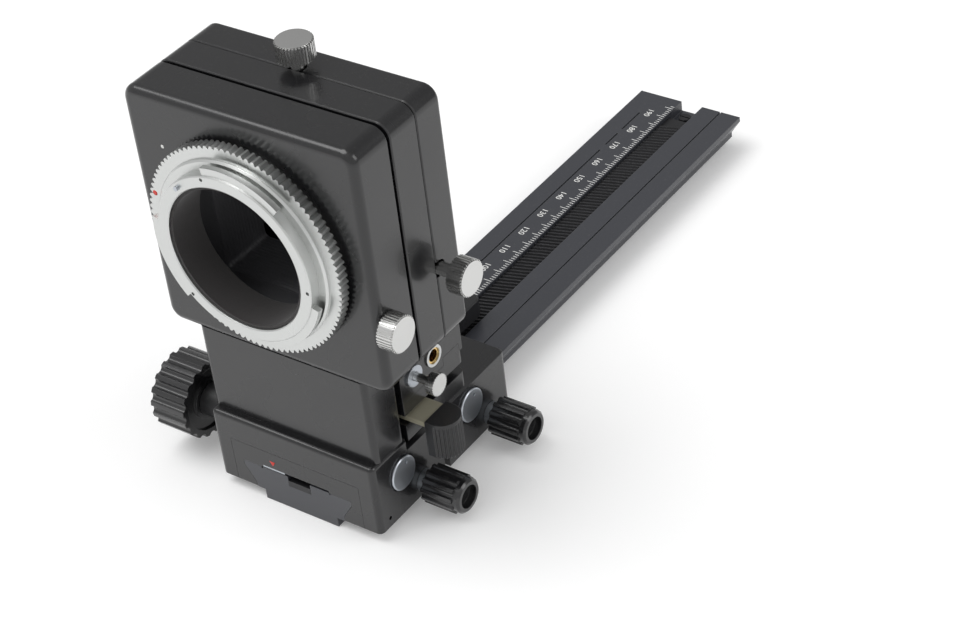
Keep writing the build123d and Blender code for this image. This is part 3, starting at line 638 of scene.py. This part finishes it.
# ------------------------------------------------------------------ bellows
@dataclass
class Bellows:
    """Square folded bellows in three lengths: one by the rear wall, one that opens, one in the frame.

    Attributes:
        inner: Half of the opening between the inner folds.
        corner: Radius of a fold's corners.
        corner_steps: Points on each corner.
        fold_turns: Phases within one fold at which the cloth has a crease.
        wide_share: Phase from a fold's start or end up to which the cloth is at its widest.
        root_folds: Folds of the length by the rear wall.
        opening_folds: Folds of the length that opens.
        open_steps: Samples of the opening curve.
        frame_pitch: Pitch of the folds inside the frame.
        root: Length of cloth by the rear wall.
        gap: Clearance of the cloth from the outside of its CAD stand-in and from its ends.
        centre: Middle of the CAD stand-in, known once it is built.
        outer: Half of the outer folds' size, known once it is built.
    """

    inner: float = 23.8 * MM
    corner: float = 1.6 * MM
    corner_steps: int = 5
    fold_turns: tuple[float, ...] = (0.0, 0.08, 0.46, 0.54, 0.92)
    wide_share: float = 0.2
    root_folds: int = 2
    opening_folds: int = 18
    open_steps: int = 2001
    frame_pitch: float = 1.15 * MM
    root: float = 1.6 * MM
    gap: float = 0.1 * MM
    centre: Vector = field(init=False)
    outer: float = field(init=False)

    def build(self, wardrobe: Wardrobe, joints: list[dict]) -> None:
        """Make the three lengths, with the opening length's folds spaced for the front slide's travel.

        Args:
            wardrobe: The materials.
            joints: The frame's joints.
        """
        low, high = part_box("bellows")
        self.centre = (low + high) / 2
        self.outer = (high.x - low.x) / 2 - self.gap
        seam_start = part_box("rear_box")[1].y
        root_end = low.y + self.root
        travel = next(joint for joint in joints if joint["name"] == "front_slide")["range_m"][1]
        first = self._tube("bellows_root", self._folds(low.y + self.gap, root_end, self.root_folds))
        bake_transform(first)
        shares, sizes = self._folds(0.0, 1.0, self.opening_folds)
        places = self._even_when_open(shares, root_end, seam_start, travel)
        opening = self._tube("bellows_opening", (places, sizes))
        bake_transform(opening)
        folds = round((high.y - self.gap - seam_start) / self.frame_pitch)
        last = self._tube("bellows_in_frame", self._folds(seam_start, high.y - self.gap, folds))
        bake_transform(last)
        for piece in (first, opening, last):
            wardrobe.dress(piece, Look.CLOTH)
        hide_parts("bellows")
        LOG.info("bellows: %d opening folds, %d in the frame", self.opening_folds, folds)

    def _folds(self, start: float, end: float, count: int) -> tuple[np.ndarray, np.ndarray]:
        """Zigzag of the cloth between two places.

        The half-size is the outer one near a fold's start and end and the inner one at its
        middle, with a short flat at each, and the cloth runs straight between them.

        Args:
            start: First place.
            end: Last place.
            count: Number of whole folds.

        Returns:
            Places along the tube, and the half-size at each.
        """
        phase = (np.arange(count)[:, None] + np.array(self.fold_turns)).ravel()
        phase = np.append(phase, count)
        turn = phase % 1.0
        wide = (turn < self.wide_share) | (turn > 1.0 - self.wide_share)
        return start + (end - start) * phase / count, np.where(wide, self.outer, self.inner)

    def _even_when_open(self, share: np.ndarray, start: float, end: float, travel: float) -> np.ndarray:
        """Place the folds so that they stand evenly when the front standard is run out.

        At a share t of the closed length, the open cloth stands at length * t plus the travel
        times t * t * (3 - 2 * t). The places are where that curve crosses even steps.

        Args:
            share: Even steps from 0 to 1.
            start: Closed start of the cloth.
            end: Closed end of the cloth.
            travel: How far the end runs out.

        Returns:
            Closed places of the folds.
        """
        t = np.linspace(0.0, 1.0, self.open_steps)
        opened = (end - start) * t + travel * t * t * (3 - 2 * t)
        return start + (end - start) * np.interp(share * opened[-1], opened, t)

    def _tube(self, name: str, folds: tuple[np.ndarray, np.ndarray]) -> bpy.types.Object:
        """Carry a rounded square along +Y through the folds.

        A loop's point is a corner's centre plus the corner radius towards its own angle, and the
        corner's centre stands at the half-size less the radius in both directions.

        Args:
            name: Name of the object.
            folds: Places and half-sizes of the loops.

        Returns:
            The tube, open at both ends.
        """
        places, sizes = folds
        quarter = np.arange(4)
        angle = quarter[:, None] * np.pi / 2 + np.linspace(0, np.pi / 2, self.corner_steps)[None]
        middle = quarter * np.pi / 2 + np.pi / 4
        lean = np.stack([np.sign(np.cos(middle)), np.sign(np.sin(middle))])
        arm = np.repeat(lean, self.corner_steps, axis=1)
        direction = np.stack([np.cos(angle.ravel()), np.sin(angle.ravel())])
        flat = (sizes - self.corner)[:, None, None] * arm[None] + self.corner * direction[None]
        points = np.stack(
            [
                self.centre.x + flat[:, 0],
                np.repeat(places[:, None], arm.shape[1], axis=1),
                self.centre.z + flat[:, 1],
            ],
            axis=-1,
        )
        return mesh_object(name, points.reshape(-1, 3), grid_faces(len(places), arm.shape[1]))


# ------------------------------------------------------------------ marks
@dataclass
class Marks:
    """Painted index marks: the mount's red dot, the box's white dot and the plate's red triangle.

    Attributes:
        dot: Radius of the red dot.
        small_share: Radius of the white dot as a share of the red one's.
        dot_sides: Corners round a dot.
        lift: Height of the paint.
        step: Distance of the ring's flange behind its raised collar.
        red_turn: Angle of the red dot on the ring, from +X towards +Z, in degrees.
        red_inset: Distance of the red dot inside the ring's rim.
        white_turn: Angle of the white dot on the box, in degrees.
        white_outset: Distance of the white dot outside the ring's rim.
        triangle: Distance from the triangle's middle to a corner.
        triangle_side: X of the triangle's middle.
        triangle_height: Z of the triangle's middle.
    """

    dot: float = 0.75 * MM
    small_share: float = 0.7
    dot_sides: int = 24
    lift: float = 0.06 * MM
    step: float = 1.0 * MM
    red_turn: float = 161.0
    red_inset: float = 1.5 * MM
    white_turn: float = 140.8
    white_outset: float = 2.9 * MM
    triangle: float = 1.1 * MM
    triangle_side: float = -7.6 * MM
    triangle_height: float = 13.7 * MM

    def build(self, wardrobe: Wardrobe) -> None:
        """Paint the marks on the ring, the box and the plate."""
        ring_low, ring_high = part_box("mount_ring")
        middle = (ring_low + ring_high) / 2
        rim = (ring_high.x - ring_low.x) / 2
        red = spot_object(
            "mount_dot",
            self._round_axis(middle, rim - self.red_inset, self.red_turn, ring_low.y + self.step),
            self.dot,
            self.dot_sides,
            0.0,
            self.lift,
        )
        white = spot_object(
            "box_dot",
            self._round_axis(middle, rim + self.white_outset, self.white_turn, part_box("rear_box")[0].y),
            self.dot * self.small_share,
            self.dot_sides,
            0.0,
            self.lift,
        )
        plate_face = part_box("index_plate")[0].y
        arrow = spot_object(
            "index_triangle",
            Vector((self.triangle_side, plate_face, self.triangle_height)),
            self.triangle,
            3,
            -np.pi / 2,
            self.lift,
        )
        for piece, look, body in (
            (red, Look.RED, "mount_turn"),
            (white, Look.WHITE, "rear_carriage"),
            (arrow, Look.RED, "rear_carriage"),
        ):
            wardrobe.dress(piece, look)
            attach(piece, body)
        LOG.info("marks: three")

    def _round_axis(self, middle: Vector, radius: float, degrees: float, depth: float) -> Vector:
        """Find a place on a circle round the mount's axis.

        Args:
            middle: A point on the axis.
            radius: Radius of the circle.
            degrees: Angle from +X towards +Z.
            depth: Y of the place.

        Returns:
            The place.
        """
        turn = np.radians(degrees)
        return Vector((middle.x + radius * np.cos(turn), depth, middle.z + radius * np.sin(turn)))


# ------------------------------------------------------------------ studio
@dataclass(frozen=True)
class Lamp:
    """A square soft lamp.

    Attributes:
        name: The lamp's name.
        place: Its middle.
        size: Its width.
        power: Its power in watts.
    """

    name: str
    place: Triple
    size: float
    power: float

    def hang(self, aim: Vector) -> None:
        """Put the lamp in the scene, turned towards a point."""
        light = bpy.data.lights.new(self.name, "AREA")
        light.shape = "SQUARE"
        light.size = self.size
        light.energy = self.power
        lamp = bpy.data.objects.new(self.name, light)
        lamp.location = self.place
        lamp.rotation_euler = (Vector(self.place) - aim).to_track_quat("Z", "Y").to_euler()
        bpy.context.scene.collection.objects.link(lamp)


@dataclass
class Studio:
    """Pale floor, soft lamps and the camera.

    Attributes:
        floor_half: Half the floor's width.
        floor_drop: Distance of the floor below the rail's foot.
        floor_colour: The floor's own colour.
        floor_lift: Brightness added to the floor as the camera and reflections see it.
        backdrop: Brightness that the camera sees beyond the floor.
        fill: Strength of the world's plain light from the camera side.
        far_fill: Its strength from beyond the rail's far end.
        fill_from: Y of the direction at which the light starts to change from one to the other.
        fill_to: Y of the direction at which it has changed.
        lamps: The soft lamps.
        aim: Point that the lamps look at.
        eye: Camera's place.
        turn: Camera's rotation, degrees.
        focal: Focal length for a 36 mm sensor, in millimetres.
    """

    floor_half: float = 3.0
    floor_drop: float = 0.1 * MM
    floor_colour: Colour = (0.88, 0.88, 0.88)
    floor_lift: float = 0.16
    backdrop: float = 1.0
    fill: float = 0.72
    far_fill: float = 0.38
    fill_from: float = -0.5
    fill_to: float = 0.9
    lamps: tuple[Lamp, ...] = (
        Lamp("key", (-0.5, -0.35, 1.5), 1.1, 13.0),
        Lamp("side", (1.3, 0.4, 0.9), 0.8, 5.0),
    )
    aim: Triple = (0.0, 0.08, 0.05)
    eye: Triple = (0.3444, -0.3424, 0.4220)
    turn: Triple = (52.5808, 5.7064, 34.6103)
    focal: float = 91.27

    def build(self) -> None:
        """Make the floor, the world, the lamps and the camera."""
        self._floor()
        self._world()
        for lamp in self.lamps:
            lamp.hang(Vector(self.aim))
        self._camera()
        bpy.context.scene.view_settings.view_transform = "Standard"

    def _floor(self) -> None:
        """Lay a plain pale floor under the unit."""
        half = self.floor_half
        corners = np.array([[-half, -half, 0], [half, -half, 0], [half, half, 0], [-half, half, 0]])
        corners[:, 2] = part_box("rail")[0].z - self.floor_drop
        floor = mesh_object("floor", corners, np.array([[0, 1, 2, 3]]))
        material = bpy.data.materials.new("floor")
        material.use_nodes = True
        shader = material.node_tree.nodes["Principled BSDF"]
        shader.inputs["Base Color"].default_value = (*self.floor_colour, 1.0)
        shader.inputs["Roughness"].default_value = 0.9
        shader.inputs["Specular IOR Level"].default_value = 0.1
        page = Sheet(material.node_tree)
        lift = page.node("ShaderNodeEmission")
        path = page.node("ShaderNodeLightPath")
        seen = page.maths("MAXIMUM", path.outputs["Is Camera Ray"], path.outputs["Is Glossy Ray"])
        page.join(page.maths("MULTIPLY", seen, self.floor_lift), lift.inputs["Strength"])
        both = page.node("ShaderNodeAddShader")
        page.join(shader.outputs["BSDF"], both.inputs[0])
        page.join(lift.outputs["Emission"], both.inputs[1])
        page.join(both.outputs["Shader"], material.node_tree.nodes["Material Output"].inputs["Surface"])
        floor.data.materials.append(material)

    def _world(self) -> None:
        """Light the scene plainly, and show a white surround to camera and transmission rays."""
        world = bpy.data.worlds.new("studio")
        bpy.context.scene.world = world
        world.use_nodes = True
        page = Sheet(world.node_tree)
        shade = world.node_tree.nodes["Background"]
        path = page.node("ShaderNodeLightPath")
        seen = page.maths("MAXIMUM", path.outputs["Is Camera Ray"], path.outputs["Is Transmission Ray"])
        reach = page.node("ShaderNodeMapRange")
        reach.inputs["To Max"].default_value = self.backdrop
        page.join(seen, reach.inputs["Value"])
        side = page.node("ShaderNodeSeparateXYZ")
        page.join(page.node("ShaderNodeTexCoord").outputs["Generated"], side.inputs["Vector"])
        room = page.node("ShaderNodeMapRange", interpolation_type="SMOOTHSTEP")
        room.inputs["From Min"].default_value = self.fill_from
        room.inputs["From Max"].default_value = self.fill_to
        room.inputs["To Min"].default_value = self.fill
        room.inputs["To Max"].default_value = self.far_fill
        page.join(side.outputs["Y"], room.inputs["Value"])
        page.join(room.outputs["Result"], reach.inputs["To Min"])
        page.join(reach.outputs["Result"], shade.inputs["Strength"])
        shade.inputs["Color"].default_value = (1.0, 1.0, 1.0, 1.0)

    def _camera(self) -> None:
        """Set the camera at the unit's front right, looking down on it."""
        data = bpy.data.cameras.new("view")
        data.lens = self.focal
        data.sensor_width = 36.0
        data.clip_start = 0.01
        camera = bpy.data.objects.new("view", data)
        camera.location = self.eye
        camera.rotation_euler = Euler(np.radians(self.turn).tolist(), "XYZ")
        bpy.context.scene.collection.objects.link(camera)
        bpy.context.scene.camera = camera


def main() -> None:
    """Load the frame, dress it, add the new pieces and set up the studio."""
    logging.basicConfig(level=logging.INFO, format="%(name)s: %(message)s")
    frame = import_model()
    wardrobe = Wardrobe()
    wardrobe.build()
    wardrobe.dress_frame(frame)
    LOG.info("dressed %d CAD pieces", len(frame["nodes"]))
    RailScale().build(wardrobe)
    Bellows().build(wardrobe, frame["joints"])
    Marks().build(wardrobe)
    Studio().build()


if __name__ == "__main__":
    main()
